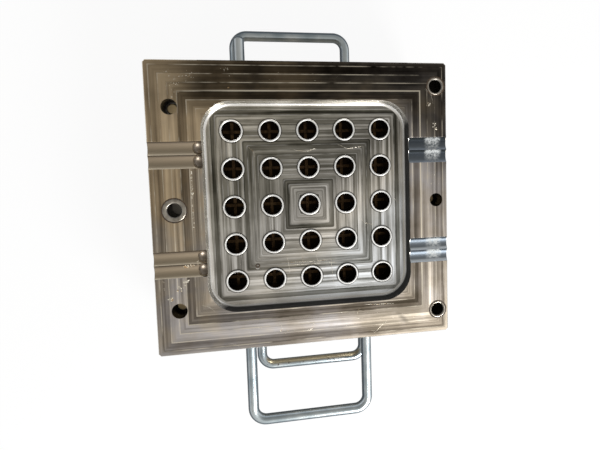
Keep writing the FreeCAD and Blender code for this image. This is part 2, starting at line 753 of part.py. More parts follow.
make_clamp_plate()
make_rail("spacer_rail_lower", -1, "lower")
make_rail("spacer_rail_upper", 1, "upper")
make_support_plate()
make_cavity_plate()
make_ejector_plates()
for grid_row in ROWS:
    make_cross_pin_row(grid_row)
    for grid_column in COLUMNS:
        make_core_sleeve(grid_row, grid_column)
for bush in BUSH_PLACES:
    make_guide_bush(bush)
for pin in RETURN_PLACES:
    make_return_pin(pin)
for number in range(4):
    make_stop_button(number)
    make_stack_screw(number)
make_package_screws()
make_handle("handle_front", "front", -1, "sizes.front_axis")
make_handle("handle_rear_lower", "lower", -1, "sizes.rear_axis")
make_handle("handle_rear_upper", "upper", 1, "sizes.rear_axis")
make_lifting_post()

# ---------------------------------------------------------------------------
# check and write

DOC.recompute()
for item in DOC.Objects:
    if "Invalid" in item.State or "Error" in item.State:
        raise RuntimeError("%s: %s" % (item.Name, item.State))
for item in NODES:
    if item.Shape.isNull() or not item.Shape.isValid():
        raise RuntimeError("bad shape: " + item.Label)

os.makedirs("parts", exist_ok=True)
for item in NODES:
    item.Shape.exportStep("parts/%s.step" % item.Label)
    print("%-26s %d solid %.1f cm3" % (item.Label, len(item.Shape.Solids), item.Shape.Volume / 1000))
print(len(NODES), "nodes")
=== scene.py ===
import math
import random

import bpy
from mathutils import Matrix, Vector


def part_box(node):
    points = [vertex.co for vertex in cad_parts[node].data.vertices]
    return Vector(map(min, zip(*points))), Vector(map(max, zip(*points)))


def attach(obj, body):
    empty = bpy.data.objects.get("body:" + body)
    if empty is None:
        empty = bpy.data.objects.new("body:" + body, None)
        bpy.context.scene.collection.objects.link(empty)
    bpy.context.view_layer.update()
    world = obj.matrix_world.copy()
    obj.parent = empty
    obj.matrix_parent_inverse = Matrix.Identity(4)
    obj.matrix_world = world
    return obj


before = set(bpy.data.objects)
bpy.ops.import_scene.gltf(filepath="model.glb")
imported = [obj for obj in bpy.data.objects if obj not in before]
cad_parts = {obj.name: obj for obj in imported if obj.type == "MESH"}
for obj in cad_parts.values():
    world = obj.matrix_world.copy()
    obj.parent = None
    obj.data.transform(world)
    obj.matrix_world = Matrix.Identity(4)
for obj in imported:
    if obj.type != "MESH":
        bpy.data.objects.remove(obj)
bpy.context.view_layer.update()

MM = 0.001


def corner_mm(node, which):
    """A CAD node's lowest (0) or highest (1) corner in mm, to a tenth."""
    return [round(value / MM, 1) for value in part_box(node)[which]]


def middle_mm(node):
    """The middle of a CAD node's box in mm, to a tenth."""
    lowest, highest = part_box(node)
    return [round((low + high) / 2 / MM, 1) for low, high in zip(lowest, highest)]


# ---------------------------------------------------------------- sizes and places, in mm
PLATE_HALF_X, PLATE_HALF_Y, PARTING_FACE = corner_mm("cavity_plate", 1)
POCKET_X = middle_mm("core_sleeve_r3c3")[0]                 # the sleeve grid's middle, right of x = 0
POCKET_HALF = 115.0
POCKET_CORNER = 32.0            # radius
SLEEVE_PITCH = middle_mm("core_sleeve_r3c4")[0] - POCKET_X
SLEEVE_COUNT = 5                # along each side of the grid
_, SLEEVE_OUTER, SLEEVE_RIM = corner_mm("core_sleeve_r3c3", 1)      # radius, and height of the rim
SLEEVE_STAND = 2.0              # the sleeves stand this far out of the pocket floor
POCKET_FLOOR = SLEEVE_RIM - SLEEVE_STAND
CROSS_TOP = corner_mm("cross_pin_row_3", 1)[2]
RETURN_PIN_END = corner_mm("return_pin_right", 1)[2]

GROOVE_PAIR = 58.5              # the ridge of each pair lies this far above or below the middle
GROOVE_STEP = 7.2               # each groove's axis lies this far from its ridge
GROOVE_AXIS = 133.3             # height of the groove axes
GROOVE_RADIUS = 10.5
GROOVE_EDGE = 14.8              # half the width of a pair on the face

BUSH_NODES = ("guide_bush_left", "guide_bush_right_top", "guide_bush_right_bottom")
BUSH_LIP_BORE = 8.0             # radius inside the bushes' lips
RETURN_HOLE_RADII = {"return_pin_left_top": 8.25, "return_pin_left_bottom": 8.25,
                     "return_pin_right": 7.75}

LOWER_BARS = middle_mm("handle_rear_lower")[2]              # height of the axes of the rear handles
BAR_RADIUS = corner_mm("handle_rear_lower", 1)[2] - LOWER_BARS
LOWER_BAR_Y = corner_mm("handle_rear_lower", 0)[1] + BAR_RADIUS     # the lower one's crossbar

FACE_PASS = 9.1                 # width of a cutter pass on the parting face
FACE_LEAD = 4.4                 # the first pass is narrower by this, so it overhangs the plate's edge
FLOOR_PASS = 5.6                # width of a cutter pass on the pocket floor
CUSP = 1.3                      # width of the bright cusp left between two passes
SHOULDER_FROM = 31.2            # the shoulder with its painted highlight lies this far in from the plate's edges
SHOULDER_TO = 32.6
DARKENING_FROM = 97.0               # the darkening along the face's upper border begins this far up,
DARKENING_FULL = 122.0              # and is full from here
SMEAR_PLACE = (109.0, -138.0, PARTING_FACE)
FILM_FROM = 141.0               # the frosty film lies between these across the right-hand grooves
FILM_TO = 156.0

# slopes along which finishes change, in parts for each mm
TO_UPPER_RIGHT = (0.010, 0.010, 0.0)
TO_UPPER_LEFT = (-1 / 620, 1 / 560, 0.0)

# centre and radius of each hole in the parting face
BUSHES = [(*middle_mm(node)[:2], corner_mm(node, 1)[0] - middle_mm(node)[0]) for node in BUSH_NODES]
RETURN_HOLES = [(*middle_mm(node)[:2], radius) for node, radius in RETURN_HOLE_RADII.items()]


# ---------------------------------------------------------------- helpers
def linear(code):
    """A colour written as sRGB hex, as the linear colour the shader wants."""
    parts = [int(code[i:i + 2], 16) / 255 for i in (1, 3, 5)]
    return tuple(p / 12.92 if p <= 0.04045 else ((p + 0.055) / 1.055) ** 2.4 for p in parts) + (1.0,)


def add(tree, kind, feeds, stops=(), **settings):
    """Adds one node. Settings are its own choices; feeds are its inputs, each a value, a socket or a
    node; stops are the (place, colour) pairs of a colour ramp."""
    made = tree.nodes.new(kind)
    for key, value in settings.items():
        setattr(made, key, value)
    for key, value in feeds.items():
        if isinstance(value, bpy.types.Node):
            value = value.outputs[0]
        if isinstance(value, bpy.types.NodeSocket):
            tree.links.new(value, made.inputs[key])
        else:
            made.inputs[key].default_value = value
    for number, (place, code) in enumerate(stops):
        band = made.color_ramp.elements
        stop = band[number] if number < len(band) else band.new(place)
        stop.position = place
        stop.color = linear(code)
    return made


def new_finish(name, metallic=1.0):
    """An empty finish: its material, node tree and shader, the place in mm, and its x, y, z."""
    material = bpy.data.materials.new(name)
    material.use_nodes = True
    tree = material.node_tree
    shader = tree.nodes["Principled BSDF"]
    shader.inputs["Metallic"].default_value = metallic
    place = add(tree, "ShaderNodeTexCoord", {}).outputs["Object"]
    mm = add(tree, "ShaderNodeVectorMath", {0: place, 1: (1 / MM,) * 3}, operation="MULTIPLY")
    xyz = add(tree, "ShaderNodeSeparateXYZ", {0: mm})
    return material, tree, shader, mm, xyz.outputs


def between(tree, value, low, high, soft):
    """1 where the value lies between low and high, fading over soft at both ends."""
    rise = add(tree, "ShaderNodeMapRange", {"Value": value, "From Min": low - soft,
                                            "From Max": low + soft})
    fall = add(tree, "ShaderNodeMapRange", {"Value": value, "From Min": high + soft,
                                            "From Max": high - soft})
    return add(tree, "ShaderNodeMath", {0: rise, 1: fall}, operation="MULTIPLY")


def cutter_passes(tree, mm, inset, width, lead, fineness):
    """Nested cutter passes at a distance from where the cutter began. Gives a strength that joins each
    pass's own tone and the feed lines in it, the feed lines, and the bright cusp at a pass's edge."""
    count = add(tree, "ShaderNodeMath", {0: inset, 1: 1 / width, 2: lead / width}, operation="MULTIPLY_ADD")
    whole = add(tree, "ShaderNodeMath", {0: count}, operation="FLOOR")
    part = add(tree, "ShaderNodeMath", {0: count}, operation="FRACT")
    tone = add(tree, "ShaderNodeTexWhiteNoise", {"W": whole}, noise_dimensions="1D")
    slow = add(tree, "ShaderNodeVectorMath", {0: mm, 1: (0.02, 0.02, 0.0)}, operation="MULTIPLY")
    deep = add(tree, "ShaderNodeCombineXYZ", {2: inset})
    path = add(tree, "ShaderNodeVectorMath", {0: slow, 1: deep}, operation="ADD")
    feed = add(tree, "ShaderNodeTexNoise", {"Vector": path, "Scale": fineness, "Detail": 3.0,
                                            "Roughness": 0.55})
    worn = add(tree, "ShaderNodeTexNoise", {"Vector": mm, "Scale": 1 / 28, "Detail": 3.0})
    kept = add(tree, "ShaderNodeMapRange", {"Value": worn, "From Min": 0.40, "From Max": 0.58})
    edge = add(tree, "ShaderNodeMapRange", {"Value": part, "From Min": CUSP / width,
                                            "From Max": 0.2 / width})
    cusp = add(tree, "ShaderNodeMath", {0: edge, 1: kept}, operation="MULTIPLY")
    toned = add(tree, "ShaderNodeMath", {0: tone.outputs["Value"], 1: 0.40}, operation="MULTIPLY")
    lined = add(tree, "ShaderNodeMath", {0: feed, 1: 0.90, 2: toned}, operation="MULTIPLY_ADD")
    strength = add(tree, "ShaderNodeMath", {0: lined, 1: 0.14}, operation="SUBTRACT")
    return strength, feed, cusp


# ---------------------------------------------------------------- finishes
def upper_border_darkening(tree, mm, x, y, cloud):
    """Where the parting face is darker: along the upper border, fainter at its left end, and
    round the upper right corner. A little patchy."""
    high = add(tree, "ShaderNodeMapRange", {"Value": y, "From Min": DARKENING_FROM, "From Max": DARKENING_FULL})
    east = add(tree, "ShaderNodeMapRange", {"Value": x, "From Min": -150.0, "From Max": -105.0,
                                            "To Min": 0.35, "To Max": 1.0})
    border = add(tree, "ShaderNodeMath", {0: high, 1: east}, operation="MULTIPLY")
    corner = add(tree, "ShaderNodeVectorMath", {0: mm, 1: TO_UPPER_RIGHT}, operation="DOT_PRODUCT")
    turned = add(tree, "ShaderNodeMapRange", {"Value": corner.outputs["Value"], "From Min": 1.75,
                                              "From Max": 2.35})
    spread = add(tree, "ShaderNodeMath", {0: border, 1: turned}, operation="MAXIMUM")
    patchy = add(tree, "ShaderNodeMapRange", {"Value": cloud, "From Min": 0.30, "From Max": 0.62,
                                              "To Min": 0.98, "To Max": 0.80})
    return add(tree, "ShaderNodeMath", {0: spread, 1: patchy}, operation="MULTIPLY")


def slanting_smear(tree, mm):
    """One dark smear on the parting face, rubbed slantwise near the lower right corner."""
    away = add(tree, "ShaderNodeVectorMath", {0: mm, 1: SMEAR_PLACE}, operation="SUBTRACT")
    along = add(tree, "ShaderNodeVectorMath", {0: away, 1: (0.066, -0.066, 0.0)}, operation="DOT_PRODUCT")
    aside = add(tree, "ShaderNodeVectorMath", {0: away, 1: (0.22, 0.22, 0.0)}, operation="DOT_PRODUCT")
    flattened = add(tree, "ShaderNodeCombineXYZ", {0: along.outputs["Value"], 1: aside.outputs["Value"]})
    far = add(tree, "ShaderNodeVectorMath", {0: flattened}, operation="LENGTH")
    return add(tree, "ShaderNodeMapRange", {"Value": far.outputs["Value"], "From Min": 1.2,
                                            "From Max": 0.3, "To Max": 0.5})


def painted_highlight_shoulder(tree, mm, inset):
    """The shoulder of the fourth pass, with a painted highlight along the upper and right borders."""
    shoulder = between(tree, inset, SHOULDER_FROM, SHOULDER_TO, 0.25)
    corner = add(tree, "ShaderNodeVectorMath", {0: mm, 1: TO_UPPER_RIGHT}, operation="DOT_PRODUCT")
    upper_right = add(tree, "ShaderNodeMapRange", {"Value": corner.outputs["Value"], "From Min": -0.1,
                                                   "From Max": 0.5})
    return add(tree, "ShaderNodeMath", {0: shoulder, 1: upper_right}, operation="MULTIPLY")


def parting_face_colour(tree, mm, x, y, inset, strength, cusp, lean, cloud):
    """The parting face: tan and paler at the upper left, the paleness partly wear and partly painted light,
    grey in the middle and cream at the lower right, under the darkened upper border and a smear, with
    bright cusps between the passes and a painted highlight along a shoulder."""
    # paler towards the upper left: partly wear, partly painted light
    wear_and_painted_light = add(tree, "ShaderNodeMapRange", {"Value": lean, "From Min": 0.26, "From Max": 0.42,
                                              "To Max": 0.22})
    paler = add(tree, "ShaderNodeMath", {0: strength, 1: wear_and_painted_light}, operation="ADD")
    steel = add(tree, "ShaderNodeValToRGB", {0: paler}, [
        (0.14, "#5f5a52"), (0.36, "#918c86"), (0.55, "#b3afa9"), (0.74, "#cecac4"), (0.95, "#f0ede8")])
    shifted = add(tree, "ShaderNodeMath", {0: lean, 1: cloud}, operation="ADD")
    tint = add(tree, "ShaderNodeValToRGB", {0: shifted}, [
        (0.06, "#e6dccd"), (0.24, "#f4ece4"), (0.42, "#f1eff3"), (0.60, "#f4eadc"), (0.82, "#f8e2c0")])
    tinted = add(tree, "ShaderNodeMix", {0: 1.0, 6: steel, 7: tint},
                 data_type="RGBA", blend_type="MULTIPLY")
    # darker along the upper border and round the upper right corner
    darkened = add(tree, "ShaderNodeMix", {0: upper_border_darkening(tree, mm, x, y, cloud), 6: tinted.outputs[2],
                                          7: linear("#36322d")}, data_type="RGBA", blend_type="MULTIPLY")
    smeared = add(tree, "ShaderNodeMix", {0: slanting_smear(tree, mm), 6: darkened.outputs[2],
                                          7: linear("#4f4a42")}, data_type="RGBA")
    # the shoulder's brightness is a painted highlight
    brightest = add(tree, "ShaderNodeMath", {0: cusp, 1: painted_highlight_shoulder(tree, mm, inset)},
                    operation="MAXIMUM")
    bright = add(tree, "ShaderNodeMath", {0: brightest, 1: 0.8}, operation="MULTIPLY")
    lit = add(tree, "ShaderNodeMix", {0: bright, 6: smeared.outputs[2], 7: linear("#f4ead6")},
              data_type="RGBA")
    return lit.outputs[2]


def pocket_floor_colour(tree, px, y, strength, cusp, lean):
    """The pocket floor: painted brighter and bluish towards its lower side, pale at the right and dullest
    above the middle, as painted light, with pale cusps between the passes and a painted shadow with some
    dirt round the foot of each sleeve."""
    # painted light: the floor made brighter towards its lower side
    painted_light_down = add(tree, "ShaderNodeMath", {0: y, 1: -0.0009, 2: strength}, operation="MULTIPLY_ADD")
    steel = add(tree, "ShaderNodeValToRGB", {0: painted_light_down}, [
        (0.16, "#47463f"), (0.36, "#8a8880"), (0.52, "#aeaca6"), (0.66, "#d8d6d1"), (0.84, "#fbfaf8")])
    # painted light: a tint that is bluish and pale towards the lower right and dullest above the middle
    across = add(tree, "ShaderNodeMapRange", {"Value": lean, "From Min": -0.30, "From Max": 0.40})
    painted_light_tint = add(tree, "ShaderNodeValToRGB", {0: across}, [
        (0.16, "#f6faff"), (0.28, "#fffaf2"), (0.42, "#d6d4d1"), (0.66, "#cfccc3"), (0.83, "#fdf8ec")])
    tinted = add(tree, "ShaderNodeMix", {0: 1.0, 6: steel, 7: painted_light_tint},
                 data_type="RGBA", blend_type="MULTIPLY")
    ridged = add(tree, "ShaderNodeMath", {0: cusp, 1: 0.5}, operation="MULTIPLY")
    edged = add(tree, "ShaderNodeMix", {0: ridged, 6: tinted.outputs[2], 7: linear("#f3f1ee")},
                data_type="RGBA")
    # painted shadow, with some dirt, in a thin ring round the foot of each sleeve
    half = SLEEVE_PITCH / 2
    local_x = add(tree, "ShaderNodeMath", {0: px, 1: half, 2: -half}, operation="WRAP")
    local_y = add(tree, "ShaderNodeMath", {0: y, 1: half, 2: -half}, operation="WRAP")
    local = add(tree, "ShaderNodeCombineXYZ", {0: local_x, 1: local_y})
    reach = add(tree, "ShaderNodeVectorMath", {0: local}, operation="LENGTH")
    foot_shadow_and_dirt = add(tree, "ShaderNodeMapRange", {"Value": reach.outputs["Value"], "From Min": SLEEVE_OUTER + 1.5,
                                            "From Max": SLEEVE_OUTER + 0.6, "To Max": 0.8})
    with_foot_shadow = add(tree, "ShaderNodeMix", {0: foot_shadow_and_dirt, 6: edged.outputs[2], 7: linear("#2c2822")},
                data_type="RGBA")
    return with_foot_shadow.outputs[2]


def groove_colour(tree, x, y, from_ridge):
    """The grooves: brown at the left and blue-grey at the right. Each is painted darkest along its upper
    side and bright along its lower edge, as painted shade and highlight."""
    half_plate = add(tree, "ShaderNodeMath", {0: y}, operation="SIGN")
    climb = add(tree, "ShaderNodeMath", {0: from_ridge, 1: half_plate}, operation="MULTIPLY")
    grooves_up = add(tree, "ShaderNodeMath", {0: climb, 1: 0.5 / GROOVE_STEP}, operation="MULTIPLY")
    up_groove = add(tree, "ShaderNodeMath", {0: grooves_up}, operation="FRACT")
    # painted shade along each groove's upper side and painted highlight along its lower edge
    brown = add(tree, "ShaderNodeValToRGB", {0: up_groove}, [
        (0.02, "#dccfb6"), (0.12, "#b5a68e"), (0.55, "#ab9c86"), (0.85, "#877a69"), (0.97, "#51483d")])
    # the blue-grey grooves are painted darker towards the top of the plate as well
    painted_shade_up = add(tree, "ShaderNodeMath", {0: y, 1: 0.0020, 2: up_groove}, operation="MULTIPLY_ADD")
    blue = add(tree, "ShaderNodeValToRGB", {0: painted_shade_up}, [
        (0.02, "#d0d6da"), (0.12, "#868d94"), (0.50, "#60676e"), (0.78, "#2c3034"), (0.96, "#0e1011")])
    right = add(tree, "ShaderNodeMath", {0: x, 1: POCKET_X}, operation="GREATER_THAN")
    groove = add(tree, "ShaderNodeMix", {0: right, 6: brown.outputs[0], 7: blue.outputs[0]},
                 data_type="RGBA")
    return groove.outputs[2]


def painted_wall_shade(tree, z, pax):
    """Painted shade: black on the pocket's right and lower walls above the fillet's foot."""
    facing = add(tree, "ShaderNodeNewGeometry", {}).outputs["Normal"]
    turned = add(tree, "ShaderNodeVectorMath", {0: facing, 1: (-0.6, 0.8, 0.0)}, operation="DOT_PRODUCT")
    facing_shade = add(tree, "ShaderNodeMapRange", {"Value": turned.outputs["Value"], "From Min": 0.15,
                                               "From Max": 0.45, "To Max": 0.97})
    upward = add(tree, "ShaderNodeSeparateXYZ", {0: facing}).outputs[1]
    low_edge = add(tree, "ShaderNodeMath", {0: upward, 1: -0.8, 2: POCKET_FLOOR + 1.0},
                   operation="MULTIPLY_ADD")
    over_edge = add(tree, "ShaderNodeMath", {0: z, 1: low_edge}, operation="SUBTRACT")
    above = add(tree, "ShaderNodeMapRange", {"Value": over_edge, "From Min": 0.0, "From Max": 1.6})
    within = add(tree, "ShaderNodeMath", {0: pax, 1: POCKET_HALF + 0.2}, operation="LESS_THAN")
    walled = add(tree, "ShaderNodeMath", {0: above, 1: within}, operation="MULTIPLY")
    return add(tree, "ShaderNodeMath", {0: facing_shade, 1: walled}, operation="MULTIPLY")


def frosty_film(tree, mm, x, from_ridge):
    """A dry, frosty film of old release agent across the right-hand grooves."""
    film_y = between(tree, from_ridge, -GROOVE_STEP * 1.7, GROOVE_STEP * 1.7, 3.0)
    film_x = between(tree, x, FILM_FROM, FILM_TO, 3.0)
    film_xy = add(tree, "ShaderNodeMath", {0: film_x, 1: film_y}, operation="MULTIPLY")
    crumbs = add(tree, "ShaderNodeTexNoise", {"Vector": mm, "Scale": 0.5, "Detail": 5.0,
                                              "Roughness": 0.7})
    crusted = add(tree, "ShaderNodeMapRange", {"Value": crumbs, "From Min": 0.38, "From Max": 0.60})
    return add(tree, "ShaderNodeMath", {0: film_xy, 1: crusted}, operation="MULTIPLY")


def milled_mould_steel():
    """Pre-hardened mould steel, face milled. The cutter went round in nested rectangles, so the face
    and the pocket floor show bands with bright cusps between them. The upper border is darker and brown
    and the upper left corner tan; walls, fillet and grooves are finished smooth. Painted shade darkens
    the pocket's right and lower walls and the grooves' upper sides."""
    material, tree, shader, mm, xyz = new_finish("milled_mould_steel")
    x, y, z = xyz
    grain = add(tree, "ShaderNodeTexNoise", {"Vector": mm, "Scale": 1.4, "Detail": 2.0})
    cloud = add(tree, "ShaderNodeTexNoise", {"Vector": mm, "Scale": 1 / 42, "Detail": 4.0})

    # the parting face's passes are rectangles inset from the plate's edges
    ax = add(tree, "ShaderNodeMath", {0: x}, operation="ABSOLUTE")
    ay = add(tree, "ShaderNodeMath", {0: y}, operation="ABSOLUTE")
    bx = add(tree, "ShaderNodeMath", {0: ax, 1: PLATE_HALF_X - PLATE_HALF_Y}, operation="SUBTRACT")
    out = add(tree, "ShaderNodeMath", {0: bx, 1: ay}, operation="MAXIMUM")
    inset = add(tree, "ShaderNodeMath", {0: PLATE_HALF_Y, 1: out}, operation="SUBTRACT")
    face, face_feed, face_cusp = cutter_passes(tree, mm, inset, FACE_PASS, FACE_LEAD, 0.26)

    # the pocket floor's are round-cornered squares about the middle sleeve
    px = add(tree, "ShaderNodeMath", {0: x, 1: POCKET_X}, operation="SUBTRACT")
    pax = add(tree, "ShaderNodeMath", {0: px}, operation="ABSOLUTE")
    ring = add(tree, "ShaderNodeMath", {0: pax, 1: ay, 2: 3.0}, operation="SMOOTH_MAX")
    floor, floor_feed, floor_cusp = cutter_passes(tree, mm, ring, FLOOR_PASS, 0.0, 0.42)

    # where the cutter's passes show: on the pocket floor and on the parting face
    at_floor = between(tree, z, POCKET_FLOOR - 0.6, POCKET_FLOOR + 0.3, 0.12)
    in_pocket = add(tree, "ShaderNodeMath", {0: ring, 1: POCKET_HALF + 1.0}, operation="LESS_THAN")
    on_floor = add(tree, "ShaderNodeMath", {0: at_floor, 1: in_pocket}, operation="MULTIPLY")
    on_face = add(tree, "ShaderNodeMath", {0: z, 1: PARTING_FACE - 0.3}, operation="GREATER_THAN")
    on_flat = add(tree, "ShaderNodeMath", {0: on_floor, 1: on_face}, operation="MAXIMUM")

    passes = add(tree, "ShaderNodeMix", {0: on_floor, 2: face, 3: floor})
    feed = add(tree, "ShaderNodeMix", {0: on_floor, 2: face_feed, 3: floor_feed})
    mottled = add(tree, "ShaderNodeMath", {0: cloud, 1: 0.5, 2: passes}, operation="MULTIPLY_ADD")
    strength = add(tree, "ShaderNodeMath", {0: mottled, 1: 0.25}, operation="SUBTRACT")
    lean = add(tree, "ShaderNodeVectorMath", {0: mm, 1: TO_UPPER_LEFT},
               operation="DOT_PRODUCT").outputs["Value"]
    face_colour = parting_face_colour(tree, mm, x, y, inset, strength, face_cusp, lean, cloud)
    floor_colour = pocket_floor_colour(tree, px, y, strength, floor_cusp, lean)
    flat = add(tree, "ShaderNodeMix", {0: on_floor, 6: face_colour, 7: floor_colour}, data_type="RGBA")

    # smooth finished walls and fillet, then the grooves with the dull scoops at their inner ends
    smooth = add(tree, "ShaderNodeValToRGB", {0: cloud}, [
        (0.30, "#cbc7bf"), (0.50, "#dfdcd6"), (0.70, "#f2f0ec")])
    from_ridge = add(tree, "ShaderNodeMath", {0: ay, 1: GROOVE_PAIR}, operation="SUBTRACT")
    groove_y = between(tree, from_ridge, -GROOVE_STEP * 2.4, GROOVE_STEP * 2.4, 0.5)
    outside = add(tree, "ShaderNodeMath", {0: pax, 1: POCKET_HALF + 0.2}, operation="GREATER_THAN")
    in_groove = add(tree, "ShaderNodeMath", {0: outside, 1: groove_y}, operation="MULTIPLY")
    grooved = add(tree, "ShaderNodeMix", {0: in_groove, 6: smooth.outputs[0],
                                          7: groove_colour(tree, x, y, from_ridge)}, data_type="RGBA")
    deep = add(tree, "ShaderNodeMapRange", {"Value": z, "From Min": PARTING_FACE - 3.6,
                                            "From Max": PARTING_FACE - 5.6})
    scooped = add(tree, "ShaderNodeMath", {0: in_groove, 1: deep}, operation="MULTIPLY")
    scoops = add(tree, "ShaderNodeMix", {0: scooped, 6: grooved.outputs[2], 7: linear("#80766a")},
                 data_type="RGBA")
    # painted shade, black on the pocket's right and lower walls
    wall_shade = painted_wall_shade(tree, z, pax)
    blackened = add(tree, "ShaderNodeMix", {0: wall_shade, 6: scoops.outputs[2], 7: linear("#080706")},
                    data_type="RGBA")

    # the plate's outer sides, ground and filmed with oil like the plates below
    side = add(tree, "ShaderNodeMath", {0: out, 1: PLATE_HALF_Y - 0.2}, operation="GREATER_THAN")
    side_colour = add(tree, "ShaderNodeValToRGB", {0: cloud}, [
        (0.36, "#8b8378"), (0.5, "#9b958b"), (0.64, "#a9a49b")])
    sided = add(tree, "ShaderNodeMix", {0: side, 6: blackened.outputs[2], 7: side_colour.outputs[0]},
                data_type="RGBA")

    # the holes for the return pins are painted near black inside: painted shade
    near_side = add(tree, "ShaderNodeMath", {0: out, 1: PLATE_HALF_Y - 3.0}, operation="GREATER_THAN")
    elsewhere = add(tree, "ShaderNodeMath", {0: groove_y, 1: near_side}, operation="MAXIMUM")
    hole = add(tree, "ShaderNodeMath", {0: outside, 1: elsewhere}, operation="GREATER_THAN")
    below_break = add(tree, "ShaderNodeMath", {0: z, 1: PARTING_FACE - 1.4}, operation="LESS_THAN")
    in_hole = add(tree, "ShaderNodeMath", {0: hole, 1: below_break}, operation="MULTIPLY")
    holes = add(tree, "ShaderNodeMix", {0: in_hole, 6: sided.outputs[2], 7: linear("#1d1813")},
                data_type="RGBA")
    steel = add(tree, "ShaderNodeMix", {0: on_flat, 6: holes.outputs[2], 7: flat.outputs[2]},
                data_type="RGBA")
    film = frosty_film(tree, mm, x, from_ridge)
    frosted = add(tree, "ShaderNodeMix", {0: film, 6: steel.outputs[2], 7: linear("#b4b7b6")},
                  data_type="RGBA")
    tree.links.new(frosted.outputs[2], shader.inputs["Base Color"])

    flat_rough = add(tree, "ShaderNodeMapRange", {"Value": feed, "From Min": 0.35, "From Max": 0.65,
                                                  "To Min": 0.24, "To Max": 0.42})
    worn_rough = add(tree, "ShaderNodeMath", {0: in_groove, 1: 0.16, 2: 0.26}, operation="MULTIPLY_ADD")
    base_rough = add(tree, "ShaderNodeMix", {0: on_flat, 2: worn_rough, 3: flat_rough})
    filmed = add(tree, "ShaderNodeMath", {0: film, 1: 0.3, 2: base_rough}, operation="MULTIPLY_ADD")
    rough = add(tree, "ShaderNodeMix", {0: wall_shade, 2: filmed, 3: 0.9})
    tree.links.new(rough.outputs[0], shader.inputs["Roughness"])
    covered = add(tree, "ShaderNodeMath", {0: film, 1: wall_shade}, operation="MAXIMUM")
    bare = add(tree, "ShaderNodeMath", {0: 1.0, 1: covered}, operation="SUBTRACT")
    tree.links.new(bare.outputs[0], shader.inputs["Metallic"])
    cut = add(tree, "ShaderNodeMath", {0: feed, 1: on_flat}, operation="MULTIPLY")
    height = add(tree, "ShaderNodeMath", {0: grain, 1: 0.25, 2: cut}, operation="MULTIPLY_ADD")
    bump = add(tree, "ShaderNodeBump", {"Height": height, "Strength": 0.35, "Distance": 0.0003})
    tree.links.new(bump.outputs[0], shader.inputs["Normal"])
    return material


def ground_plate_steel():
    """Tool steel plate, surface ground on its sides: fine straight lines along the plate, a thin brown
    oil film and a few darker handling marks."""
    material, tree, shader, mm, _ = new_finish("ground_plate_steel")
    long_lines = add(tree, "ShaderNodeVectorMath", {0: mm, 1: (0.015, 0.015, 1.4)}, operation="MULTIPLY")
    lines = add(tree, "ShaderNodeTexNoise", {"Vector": long_lines, "Scale": 1.0, "Detail": 4.0})
    film = add(tree, "ShaderNodeTexNoise", {"Vector": mm, "Scale": 1 / 40, "Detail": 4.0})
    both = add(tree, "ShaderNodeMath", {0: film, 1: 0.45, 2: lines}, operation="MULTIPLY_ADD")
    level = add(tree, "ShaderNodeMath", {0: both, 1: 0.69}, operation="MULTIPLY")
    colour = add(tree, "ShaderNodeValToRGB", {0: level}, [
        (0.36, "#6d6255"), (0.46, "#8d8577"), (0.56, "#a9a59d"), (0.66, "#c0bbb0")])
    tree.links.new(colour.outputs[0], shader.inputs["Base Color"])
    rough = add(tree, "ShaderNodeMapRange", {"Value": film, "To Min": 0.25, "To Max": 0.5})
    tree.links.new(rough.outputs[0], shader.inputs["Roughness"])
    bump = add(tree, "ShaderNodeBump", {"Height": lines, "Strength": 0.2, "Distance": 0.0001})
    tree.links.new(bump.outputs[0], shader.inputs["Normal"])
    return material


def ground_sleeve_steel():
    """Hardened sleeve steel. The rim is ground, and painted a pale, satin white ring as a painted
    highlight;
    the bore below it is painted nearly black, as painted shade with some burnt-on oil."""
    material, tree, shader, mm, xyz = new_finish("ground_sleeve_steel")
    turning = add(tree, "ShaderNodeVectorMath", {0: mm, 1: (0.3, 0.3, 3.0)}, operation="MULTIPLY")
    lines = add(tree, "ShaderNodeTexNoise", {"Vector": turning, "Scale": 1.0, "Detail": 3.0})
    rim = add(tree, "ShaderNodeMapRange", {"Value": xyz[2], "From Min": SLEEVE_RIM - 1.3,
                                           "From Max": SLEEVE_RIM - 0.5})
    # painted highlight: the rim's pale white; painted shade with some oil: the bore's near black
    bright = add(tree, "ShaderNodeValToRGB", {0: lines}, [(0.3, "#ecebe7"), (0.6, "#fbfaf7")])
    oil_and_painted_light = add(tree, "ShaderNodeValToRGB", {0: lines}, [(0.3, "#15110d"), (0.7, "#33291e")])
    colour = add(tree, "ShaderNodeMix", {0: rim, 6: oil_and_painted_light.outputs[0], 7: bright.outputs[0]},
                 data_type="RGBA")
    tree.links.new(colour.outputs[2], shader.inputs["Base Color"])
    rough = add(tree, "ShaderNodeMapRange", {"Value": rim, "To Min": 0.35, "To Max": 0.52})
    tree.links.new(rough.outputs[0], shader.inputs["Roughness"])
    return material


